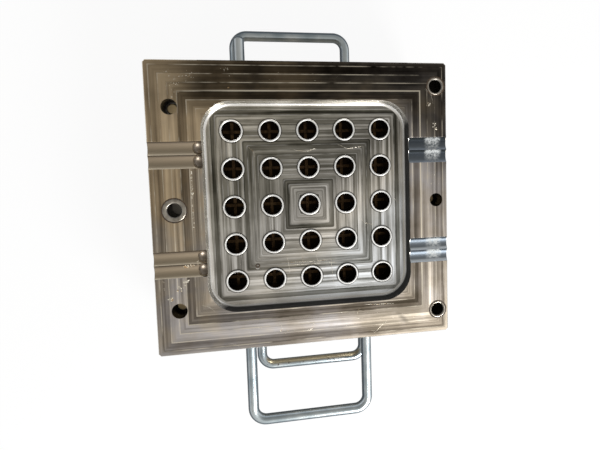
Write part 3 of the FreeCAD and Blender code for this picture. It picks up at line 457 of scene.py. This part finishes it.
def turned_bush_steel():
    """Case-hardened bush steel: a grey turned head, and a bore that is painted brown where the guide pins
    enter and nearly black below: painted light at the mouth and painted shade deeper, with some oil."""
    material, tree, shader, mm, xyz = new_finish("turned_bush_steel")
    wear = add(tree, "ShaderNodeTexNoise", {"Vector": mm, "Scale": 0.12, "Detail": 2.0})
    head = add(tree, "ShaderNodeMapRange", {"Value": xyz[2], "From Min": PARTING_FACE - 2.2,
                                            "From Max": PARTING_FACE - 1.2})
    grey = add(tree, "ShaderNodeValToRGB", {0: wear}, [(0.35, "#6f6b64"), (0.7, "#8f8b84")])
    oil_and_painted_light = add(tree, "ShaderNodeValToRGB", {0: wear}, [(0.35, "#14110e"), (0.7, "#2c251d")])
    # painted light near the bore's mouth, painted shade deeper in it, with some oil
    painted_light_at_entry = add(tree, "ShaderNodeMapRange", {"Value": xyz[2], "From Min": PARTING_FACE - 16.0,
                                             "From Max": PARTING_FACE - 6.0, "To Max": 0.3})
    bore = add(tree, "ShaderNodeMix", {0: painted_light_at_entry, 6: oil_and_painted_light.outputs[0], 7: linear("#7a6e5d")},
               data_type="RGBA")
    colour = add(tree, "ShaderNodeMix", {0: head, 6: bore.outputs[2], 7: grey.outputs[0]},
                 data_type="RGBA")
    tree.links.new(colour.outputs[2], shader.inputs["Base Color"])
    rough = add(tree, "ShaderNodeMapRange", {"Value": wear, "To Min": 0.24, "To Max": 0.44})
    tree.links.new(rough.outputs[0], shader.inputs["Roughness"])
    return material


def oiled_pin_steel():
    """Hardened pin steel under old oil: nearly black, partly as painted shade deep in the bores, with brown
    on the raised crosses, partly rubbed and partly painted light, and paler at the ends of the return pins,
    which meet the other half."""
    material, tree, shader, mm, xyz = new_finish("oiled_pin_steel")
    film = add(tree, "ShaderNodeTexNoise", {"Vector": mm, "Scale": 1 / 5, "Detail": 4.0})
    # the cross tops are lighter and everything below them nearly black: painted light and shade, with some
    # wear and oil
    raised = add(tree, "ShaderNodeMapRange", {"Value": xyz[2], "From Min": CROSS_TOP - 1.0,
                                              "From Max": CROSS_TOP - 0.2})
    wear_and_painted_light = add(tree, "ShaderNodeValToRGB", {0: film}, [
        (0.3, "#33281c"), (0.55, "#5a4631"), (0.75, "#7c6447")])
    dark = add(tree, "ShaderNodeValToRGB", {0: film}, [(0.3, "#120e0a"), (0.7, "#2f251a")])
    crossed = add(tree, "ShaderNodeMix", {0: raised, 6: dark.outputs[0], 7: wear_and_painted_light.outputs[0]},
                  data_type="RGBA")
    high = add(tree, "ShaderNodeMath", {0: xyz[2], 1: RETURN_PIN_END - 6.0}, operation="GREATER_THAN")
    colour = add(tree, "ShaderNodeMix", {0: high, 6: crossed.outputs[2], 7: linear("#ead2a6")},
                 data_type="RGBA")
    tree.links.new(colour.outputs[2], shader.inputs["Base Color"])
    rough = add(tree, "ShaderNodeMapRange", {"Value": film, "To Min": 0.3, "To Max": 0.55})
    tree.links.new(rough.outputs[0], shader.inputs["Roughness"])
    return material


def zinc_plated_bar():
    """Drawn round bar with bright zinc plating: a cool, slightly blue shine along the top, duller in
    soft patches and at the sides, where painted shade darkens it to blue-grey, with a few brown specks."""
    material, tree, shader, mm, xyz = new_finish("zinc_plated_bar")
    cloud = add(tree, "ShaderNodeTexNoise", {"Vector": mm, "Scale": 1 / 26, "Detail": 2.0})
    plated = add(tree, "ShaderNodeValToRGB", {0: cloud}, [
        (0.3, "#a3b1b8"), (0.5, "#c3cdd1"), (0.7, "#dce2e3")])
    # painted shade wherever the bar faces neither up nor a little towards the mould's middle
    normal = add(tree, "ShaderNodeNewGeometry", {}).outputs["Normal"]
    facing = add(tree, "ShaderNodeSeparateXYZ", {0: normal}).outputs
    end = add(tree, "ShaderNodeMath", {0: xyz[1]}, operation="SIGN")
    inward = add(tree, "ShaderNodeMath", {0: facing[1], 1: end}, operation="MULTIPLY")
    upward = add(tree, "ShaderNodeMath", {0: facing[2], 1: 0.9}, operation="MULTIPLY")
    wear_and_painted_light = add(tree, "ShaderNodeMath", {0: inward, 1: -0.42, 2: upward}, operation="MULTIPLY_ADD")
    painted_shade_at_side = add(tree, "ShaderNodeMapRange", {"Value": wear_and_painted_light, "From Min": 0.80, "From Max": 0.55})
    # on the lower rear handle the side towards the mould is yellowed, partly by oil and partly as a painted
    # reflection of the plate
    below = add(tree, "ShaderNodeMath", {0: xyz[2], 1: LOWER_BARS + BAR_RADIUS + 2.0},
                operation="LESS_THAN")
    lower_end = add(tree, "ShaderNodeMath", {0: xyz[1], 1: LOWER_BAR_Y + 12.0}, operation="LESS_THAN")
    lower_rear = add(tree, "ShaderNodeMath", {0: below, 1: lower_end}, operation="MULTIPLY")
    inner_side = add(tree, "ShaderNodeMapRange", {"Value": facing[1], "From Min": 0.15,
                                                  "From Max": 0.45, "To Max": 0.75})
    oil_and_painted_reflection = add(tree, "ShaderNodeMath", {0: lower_rear, 1: inner_side}, operation="MULTIPLY")
    oil_and_painted_light = add(tree, "ShaderNodeMix", {0: oil_and_painted_reflection, 6: plated.outputs[0], 7: linear("#b5a888")},
                data_type="RGBA")
    # painted shade: the sides darkened to blue-grey
    sided = add(tree, "ShaderNodeMix", {0: painted_shade_at_side, 6: oil_and_painted_light.outputs[2], 7: linear("#424d54")},
                data_type="RGBA")
    dust = add(tree, "ShaderNodeTexNoise", {"Vector": mm, "Scale": 0.4, "Detail": 2.0})
    speck = add(tree, "ShaderNodeMapRange", {"Value": dust, "From Min": 0.72, "From Max": 0.75,
                                             "To Max": 0.8})
    colour = add(tree, "ShaderNodeMix", {0: speck, 6: sided.outputs[2], 7: linear("#4b3a28")},
                 data_type="RGBA")
    tree.links.new(colour.outputs[2], shader.inputs["Base Color"])
    rough = add(tree, "ShaderNodeMapRange", {"Value": cloud, "To Min": 0.24, "To Max": 0.36})
    dull = add(tree, "ShaderNodeMath", {0: painted_shade_at_side, 1: 0.15, 2: rough}, operation="MULTIPLY_ADD")
    bare = add(tree, "ShaderNodeMath", {0: painted_shade_at_side, 1: -0.5, 2: 1.0}, operation="MULTIPLY_ADD")
    tree.links.new(dull.outputs[0], shader.inputs["Roughness"])
    tree.links.new(bare.outputs[0], shader.inputs["Metallic"])
    return material


def black_oxide_steel():
    """Blackened screw steel: nearly black with a dull oily shine, greyer where a tool has rubbed it."""
    material, tree, shader, mm, _ = new_finish("black_oxide_steel")
    rub = add(tree, "ShaderNodeTexNoise", {"Vector": mm, "Scale": 0.35, "Detail": 3.0})
    colour = add(tree, "ShaderNodeValToRGB", {0: rub}, [(0.4, "#232325"), (0.7, "#4c4b4a")])
    tree.links.new(colour.outputs[0], shader.inputs["Base Color"])
    rough = add(tree, "ShaderNodeMapRange", {"Value": rub, "To Min": 0.35, "To Max": 0.55})
    tree.links.new(rough.outputs[0], shader.inputs["Roughness"])
    return material


def polished_lip_steel():
    """Bush steel polished by the guide pins sliding past: grey, with a soft highlight that runs round."""
    material, tree, shader, mm, _ = new_finish("polished_lip_steel")
    wear = add(tree, "ShaderNodeTexNoise", {"Vector": mm, "Scale": 0.2, "Detail": 3.0})
    colour = add(tree, "ShaderNodeValToRGB", {0: wear}, [(0.35, "#8f877b"), (0.6, "#bdb6aa")])
    tree.links.new(colour.outputs[0], shader.inputs["Base Color"])
    rough = add(tree, "ShaderNodeMapRange", {"Value": wear, "To Min": 0.24, "To Max": 0.40})
    tree.links.new(rough.outputs[0], shader.inputs["Roughness"])
    return material


def bared_steel():
    """Steel freshly bared by knocks: small bright facets, some with a tinge of rust."""
    material, tree, shader, mm, _ = new_finish("bared_steel")
    patch = add(tree, "ShaderNodeTexNoise", {"Vector": mm, "Scale": 0.25, "Detail": 3.0})
    colour = add(tree, "ShaderNodeValToRGB", {0: patch}, [
        (0.34, "#a5835b"), (0.42, "#c9bfab"), (0.6, "#e6dfd0")])
    tree.links.new(colour.outputs[0], shader.inputs["Base Color"])
    rough = add(tree, "ShaderNodeMapRange", {"Value": patch, "To Min": 0.35, "To Max": 0.55})
    tree.links.new(rough.outputs[0], shader.inputs["Roughness"])
    return material


def gritty_grease():
    """Grease that has dried with dirt in it: brown-black, slightly shiny, lumpy."""
    material, tree, shader, mm, _ = new_finish("gritty_grease", metallic=0.0)
    grit = add(tree, "ShaderNodeTexNoise", {"Vector": mm, "Scale": 0.9, "Detail": 3.0})
    colour = add(tree, "ShaderNodeValToRGB", {0: grit}, [(0.35, "#20170f"), (0.6, "#4a3823")])
    tree.links.new(colour.outputs[0], shader.inputs["Base Color"])
    rough = add(tree, "ShaderNodeMapRange", {"Value": grit, "To Min": 0.35, "To Max": 0.7})
    tree.links.new(rough.outputs[0], shader.inputs["Roughness"])
    return material


MILLED = milled_mould_steel()
GROUND = ground_plate_steel()
SLEEVE = ground_sleeve_steel()
BUSH = turned_bush_steel()
PIN = oiled_pin_steel()
ZINC = zinc_plated_bar()
BLACK = black_oxide_steel()
LIP = polished_lip_steel()
BARED = bared_steel()
GREASE = gritty_grease()

FINISH_OF = {
    "cavity_plate": MILLED,
    "core_sleeve": SLEEVE,
    "guide_bush": BUSH,
    "cross_pin": PIN,
    "return_pin": PIN,
    "handle": ZINC,
    "lifting_post": ZINC,
    "stack_screw": BLACK,
    "stop_button": BLACK,
    "ejector_plate_screws": BLACK,
}
for name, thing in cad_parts.items():
    finish = next((FINISH_OF[start] for start in FINISH_OF if name.startswith(start)), GROUND)
    for place in thing.material_slots:
        place.material = finish


# ---------------------------------------------------------------- small pieces on the mould
def made_piece(name, points, faces, finish, body, smooth=False):
    """A piece from points in mm and their faces, with its finish, riding on a body."""
    mesh = bpy.data.meshes.new(name)
    mesh.from_pydata([Vector(point) * MM for point in points], [], faces)
    mesh.validate()
    mesh.materials.append(finish)
    for face in mesh.polygons:
        face.use_smooth = smooth
    piece = bpy.data.objects.new(name, mesh)
    bpy.context.scene.collection.objects.link(piece)
    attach(piece, body)
    return piece


def add_ring(points, faces, x, y, base, section, sides):
    """A turned ring about a place: its closed section is radius and height above the base."""
    start = len(points)
    count = len(section)
    for step in range(sides):
        turn = 2 * math.pi * step / sides
        for radius, height in section:
            points.append((x + radius * math.cos(turn), y + radius * math.sin(turn), base + height))
        here = start + step * count
        there = start + (step + 1) % sides * count
        for k in range(count):
            n = (k + 1) % count
            faces.append((here + k, there + k, there + n, here + n))


def pin_vents():
    """A small turned vent with a dark hole, pressed in where the arms of each pin's cross meet."""
    section = [(1.25, -0.2), (1.25, 0.35), (1.45, 0.6), (2.35, 0.6), (2.7, 0.3), (2.7, -0.2)]
    half = SLEEVE_COUNT // 2
    for row in range(SLEEVE_COUNT):
        points, faces = [], []
        for column in range(SLEEVE_COUNT):
            add_ring(points, faces, POCKET_X + (column - half) * SLEEVE_PITCH, (half - row) * SLEEVE_PITCH,
                     CROSS_TOP, section, 28)
        made_piece(f"pin_vents_row_{row + 1}", points, faces, PIN, "ejector_package")


def bush_lips():
    """The guide bushes' rolled lips: a rounded ring round each bore, and dirt in the joint outside it."""
    lips, lip_faces, dirt, dirt_faces = [], [], [], []
    for x, y, outer in BUSHES:
        rim = outer - 0.4
        middle, half = (BUSH_LIP_BORE + rim) / 2, (rim - BUSH_LIP_BORE) / 2
        round_top = [(middle + half * math.cos(math.radians(a)), 0.42 * math.sin(math.radians(a)))
                     for a in range(0, 181, 20)]
        add_ring(lips, lip_faces, x, y, PARTING_FACE + 0.01, round_top + [(middle, -0.05)], 72)
        add_ring(dirt, dirt_faces, x, y, PARTING_FACE, [
            (outer - 0.3, 0.0), (outer - 0.1, 0.07), (outer + 0.7, 0.07), (outer + 1.1, 0.0),
            (outer, -0.05)], 72)
    made_piece("guide_bush_lips", lips, lip_faces, LIP, "mould", smooth=True)
    made_piece("guide_bush_joint_dirt", dirt, dirt_faces, GREASE, "mould")


def floor_grease_mark():
    """A ring of dried grease on the pocket floor, left by something round that stood there."""
    points, faces = [], []
    add_ring(points, faces, -56.5, -68.0, POCKET_FLOOR, [
        (1.3, 0.0), (1.6, 0.12), (2.3, 0.15), (2.7, 0.0), (2.0, -0.05)], 24)
    made_piece("floor_grease_mark", points, faces, GREASE, "mould", smooth=True)


def add_fleck(points, faces, rng, x, y, base, width, height):
    """One burr or lump: an uneven five- to seven-sided mound with one crest, closed underneath."""
    sides = rng.randint(5, 7)
    start = len(points)
    long_way = rng.uniform(0, math.pi)
    stretch = rng.uniform(1.0, 2.0)
    for step in range(sides):
        turn = 2 * math.pi * step / sides
        radius = width / 2 * rng.uniform(0.65, 1.1)
        u, v = radius * stretch * math.cos(turn), radius * math.sin(turn)
        points.append((x + u * math.cos(long_way) - v * math.sin(long_way),
                       y + u * math.sin(long_way) + v * math.cos(long_way), base))
    shift = width * 0.15
    points.append((x + rng.uniform(-shift, shift), y + rng.uniform(-shift, shift), base + height))
    for step in range(sides):
        faces.append((start + step, start + (step + 1) % sides, start + sides))
    faces.append(tuple(start + sides - 1 - step for step in range(sides)))


def on_open_face(x, y, reach):
    """Whether a mark that reaches this far about a place lies wholly on the parting face."""
    over_x = max(abs(x - POCKET_X) - POCKET_HALF + POCKET_CORNER, 0.0)
    over_y = max(abs(y) - POCKET_HALF + POCKET_CORNER, 0.0)
    clear_of_pocket = math.hypot(over_x, over_y) > POCKET_CORNER + 0.8 + reach
    clear_of_grooves = abs(abs(y) - GROOVE_PAIR) > GROOVE_EDGE + reach
    clear_of_holes = all(math.hypot(x - hole_x, y - hole_y) > radius + 1.0 + reach
                         for hole_x, hole_y, radius in BUSHES + RETURN_HOLES)
    inside = abs(x) < PLATE_HALF_X - 2.0 - reach and abs(y) < PLATE_HALF_Y - 2.0 - reach
    return clear_of_pocket and clear_of_grooves and clear_of_holes and inside


def knock_marks():
    """Burrs thrown up by knocks on the parting face: clusters near the upper left corner, a trail at
    the lower left, and single ones elsewhere."""
    rng = random.Random(7)
    # middle x and y, spread along x and y, how many, and the widest
    clusters = [
        (-136, 132, 5, 8, 26, 1.2), (-128, 141, 9, 4, 16, 1.1), (-141, 145, 4, 2, 5, 1.0),
        (-137, 119, 2, 5, 6, 1.4), (-83, 149, 6, 2, 7, 1.2), (-80, 129, 2, 2, 2, 1.6),
        (-120, 139, 6, 4, 7, 1.0), (-40, 140, 60, 8, 10, 1.0), (-122, 20, 0.8, 34, 46, 1.7),
        (-134, -77, 3, 3, 8, 2.2), (-140, -85, 3, 4, 9, 2.2), (-150, -95, 3, 3, 8, 2.4),
        (-157, -70, 3, 20, 6, 1.2), (144, 110, 2, 3, 6, 2.0), (151, 87, 2, 4, 6, 2.0),
        (148, 20, 8, 30, 6, 1.2), (-20, -140, 90, 9, 16, 1.1), (90, -135, 40, 10, 10, 1.2),
    ]
    points, faces = [], []
    for mid_x, mid_y, wide, tall, many, widest in clusters:
        for _ in range(many):
            width = rng.uniform(0.35, 1.0) * widest
            x, y = rng.gauss(mid_x, wide * 0.6), rng.gauss(mid_y, tall * 0.6)
            if on_open_face(x, y, width):
                add_fleck(points, faces, rng, x, y, PARTING_FACE - 0.01, width, width * 0.10)
    made_piece("knock_marks", points, faces, BARED, "mould")


def scratch_burrs():
    """Scratches on the parting face and the pocket floor, seen by the fine burr each has thrown up."""
    # each scratch: a list of places along it; arcs come from something round set down on the face
    def arc(x, y, radius, start, end):
        turns = [math.radians(start + (end - start) * k / 9) for k in range(10)]
        return [(x + radius * math.cos(t), y + radius * math.sin(t)) for t in turns]
    scratches = [
        arc(-38, -137, 5.5, 200, 480), arc(-3, -138, 5.0, 190, 430), arc(60, -128, 6.0, 100, 290),
        [(74, -153), (80, -147), (90, -139)], [(70, -150), (77, -151)],
        [(-118, -104), (-110, -107), (-104, -113)], [(140, 128), (147, 121), (149, 112)],
        [(-60, -132), (-57, -137), (-54, -134)],
        [(-92, -150), (-85, -151), (-80, -154)], [(62, -118), (80, -119), (98, -120)],
    ]
    floor_scratches = [
        [(-24, -56), (-22, -66), (-21, -78)], [(-6, -56), (-5, -69)], [(10, -56), (12, -69)],
        [(27, -57), (28, -73), (30, -96)], [(-30, -66), (0, -67), (34, -66)], [(-22, -69.5), (33, -69.5)],
        [(62, -18), (69, -25), (80, -28)], [(-62, 66), (-57, 62), (-55, 55)],
        [(101, 10), (105, 3), (110, -3)], [(38, 68), (50, 62), (66, 64)], [(-12, 62), (2, 60), (14, 63)],
    ]
    widest_half, burr_height = 0.17, 0.05
    points, faces = [], []
    leveled = [(path, PARTING_FACE) for path in scratches]
    leveled += [(path, POCKET_FLOOR) for path in floor_scratches]
    for path, level in leveled:
        for k, (x, y) in enumerate(path):
            before, after = path[max(k - 1, 0)], path[min(k + 1, len(path) - 1)]
            along = Vector((after[0] - before[0], after[1] - before[1])).normalized()
            half = widest_half * math.sin(math.pi * (k + 0.6) / (len(path) + 0.2))
            points.append((x - along.y * half, y + along.x * half, level - 0.01))
            points.append((x, y, level + burr_height))
            points.append((x + along.y * half, y - along.x * half, level - 0.01))
            if k:
                now, last = len(points) - 3, len(points) - 6
                faces += [(last, now, now + 1, last + 1), (last + 1, now + 1, now + 2, last + 2),
                          (last + 2, now + 2, now, last)]
    made_piece("scratch_burrs", points, faces, BARED, "mould")


def chipped_ridge():
    """The ridge between the lower left grooves, chipped and smeared bright where it meets the scoops."""
    rng = random.Random(4)
    points, faces = [], []
    for k in range(46):
        x = rng.uniform(-135, -119.5)
        along = (x + 135) / 15.5
        y = -61.5 + 3.5 * along + rng.gauss(0, 0.6 + 0.9 * along)
        from_axis = GROOVE_STEP - abs(y + GROOVE_PAIR)
        ground = GROOVE_AXIS - math.sqrt(GROOVE_RADIUS ** 2 - from_axis ** 2)
        width = rng.uniform(0.9, 2.2)
        add_fleck(points, faces, rng, x, y, ground - 0.5, width, 0.5 + width * 0.2)
    made_piece("chipped_ridge", points, faces, BARED, "mould")


def grease_lumps():
    """Lumps of dried grease and grit along the top of the lower rear handle's crossbar."""
    rng = random.Random(12)
    points, faces = [], []
    for mid_x, many in ((-34, 3), (-20, 2), (-7, 5), (14, 4), (33, 6), (50, 3)):
        for _ in range(many):
            width = rng.uniform(1.0, 2.4)
            x, aside = rng.gauss(mid_x, 3), max(-1.8, min(1.8, rng.gauss(0.5, 0.8)))
            top = LOWER_BARS + math.sqrt(BAR_RADIUS ** 2 - aside ** 2)
            add_fleck(points, faces, rng, x, LOWER_BAR_Y + aside, top - 0.35, width, width * 0.3 + 0.2)
    made_piece("grease_lumps", points, faces, GREASE, "mould")


pin_vents()
bush_lips()
floor_grease_mark()
knock_marks()
scratch_burrs()
chipped_ridge()
grease_lumps()


# ---------------------------------------------------------------- floor, light and camera
def pale_floor():
    """Matt white floor that keeps a soft shadow."""
    mesh = bpy.data.meshes.new("floor")
    reach = 6.0
    mesh.from_pydata([(-reach, -reach, 0), (reach, -reach, 0), (reach, reach, 0), (-reach, reach, 0)],
                     [], [(0, 1, 2, 3)])
    floor = bpy.data.objects.new("floor", mesh)
    floor.location.z = -0.2 * MM        # just clear of the clamp plate
    bpy.context.scene.collection.objects.link(floor)
    material = bpy.data.materials.new("matt_white_floor")
    material.use_nodes = True
    tree = material.node_tree
    shader = tree.nodes["Principled BSDF"]
    shader.inputs["Base Color"].default_value = linear("#fafafa")
    shader.inputs["Roughness"].default_value = 0.9
    light = add(tree, "ShaderNodeLightPath", {}).outputs
    seen = add(tree, "ShaderNodeMath", {0: light["Is Camera Ray"], 1: light["Is Glossy Ray"]},
               operation="ADD")
    shown = add(tree, "ShaderNodeMath", {0: seen, 1: light["Is Transmission Ray"]}, operation="ADD",
                use_clamp=True)
    # where it is seen, 0.92 of it glows and the rest takes the shadow
    share = add(tree, "ShaderNodeMath", {0: shown, 1: 0.92}, operation="MULTIPLY")
    glow = add(tree, "ShaderNodeEmission", {"Color": (1, 1, 1, 1), "Strength": 1.0})
    mix = add(tree, "ShaderNodeMixShader", {0: share, 1: shader.outputs[0], 2: glow})
    tree.links.new(mix.outputs[0], tree.nodes["Material Output"].inputs["Surface"])
    mesh.materials.append(material)


def studio_surround():
    """A white surround at eye level, bluish above it at the back, under a ceiling that is dim at the
    back left and white at the front right."""
    world = bpy.data.worlds.new("studio")
    bpy.context.scene.world = world
    world.use_nodes = True
    tree = world.node_tree
    back = tree.nodes["Background"]
    way = add(tree, "ShaderNodeTexCoord", {}).outputs["Generated"]
    xyz = add(tree, "ShaderNodeSeparateXYZ", {0: way})
    slope = add(tree, "ShaderNodeVectorMath", {0: way, 1: (0.50, -0.86, 0.0)}, operation="DOT_PRODUCT")
    place = add(tree, "ShaderNodeMapRange",
                {"Value": slope.outputs["Value"], "From Min": -0.5, "From Max": 0.5})
    ceiling = add(tree, "ShaderNodeValToRGB", {0: place}, [
        (0.0, "#8f8e8b"), (0.25, "#a3a19d"), (0.62, "#a6a4a0"), (0.72, "#c2c0bc"), (0.80, "#d2d0cd"),
        (0.96, "#dad8d5")])
    rim = add(tree, "ShaderNodeValToRGB", {0: place}, [
        (0.1, "#e6e9ef"), (0.5, "#e9eaed"), (0.8, "#e8e9ea")])
    low = add(tree, "ShaderNodeMapRange", {"Value": xyz.outputs[2], "From Min": 0.55, "From Max": 0.36})
    colour = add(tree, "ShaderNodeMix", {0: low, 6: ceiling.outputs[0], 7: rim.outputs[0]},
                 data_type="RGBA")
    eye_level = add(tree, "ShaderNodeMapRange", {"Value": xyz.outputs[2], "From Min": 0.16,
                                                 "From Max": 0.07})
    hazy = add(tree, "ShaderNodeMix", {0: eye_level, 6: colour.outputs[2], 7: linear("#fbfbfb")},
               data_type="RGBA")
    tree.links.new(hazy.outputs[2], back.inputs["Color"])
    back.inputs["Strength"].default_value = 1.0


def soft_lamp(name, place, aim, width, watts):
    """A square soft lamp at a place, facing a point, both in mm."""
    light = bpy.data.lights.new(name, "AREA")
    light.energy = watts
    light.size = width * MM
    lamp = bpy.data.objects.new(name, light)
    lamp.location = Vector(place) * MM
    lamp.rotation_euler = (Vector(aim) - Vector(place)).to_track_quat("-Z", "Y").to_euler()
    bpy.context.scene.collection.objects.link(lamp)


def camera():
    """Looks down on the parting face from a little to the left of and above its middle."""
    place = Vector((-54.9, 48.6, 667.2)) * MM
    look = Vector((0.1876, -0.0810, -0.9789)).normalized()
    upward = Vector((0.0398, 0.9964, -0.0748))
    across = look.cross(upward).normalized()
    up = across.cross(look)
    data = bpy.data.cameras.new("camera")
    data.sensor_width = 36.0
    data.lens = 29.3
    data.shift_x = -0.0833
    data.shift_y = -0.0417
    made = bpy.data.objects.new("camera", data)
    made.matrix_world = Matrix.Translation(place) @ Matrix((across, up, -look)).transposed().to_4x4()
    bpy.context.scene.collection.objects.link(made)
    bpy.context.scene.camera = made


pale_floor()
studio_surround()
soft_lamp("key_lamp", place=(620, -1050, 860), aim=(0, 0, 110), width=520, watts=24)
camera()
bpy.context.scene.view_settings.view_transform = "Standard"
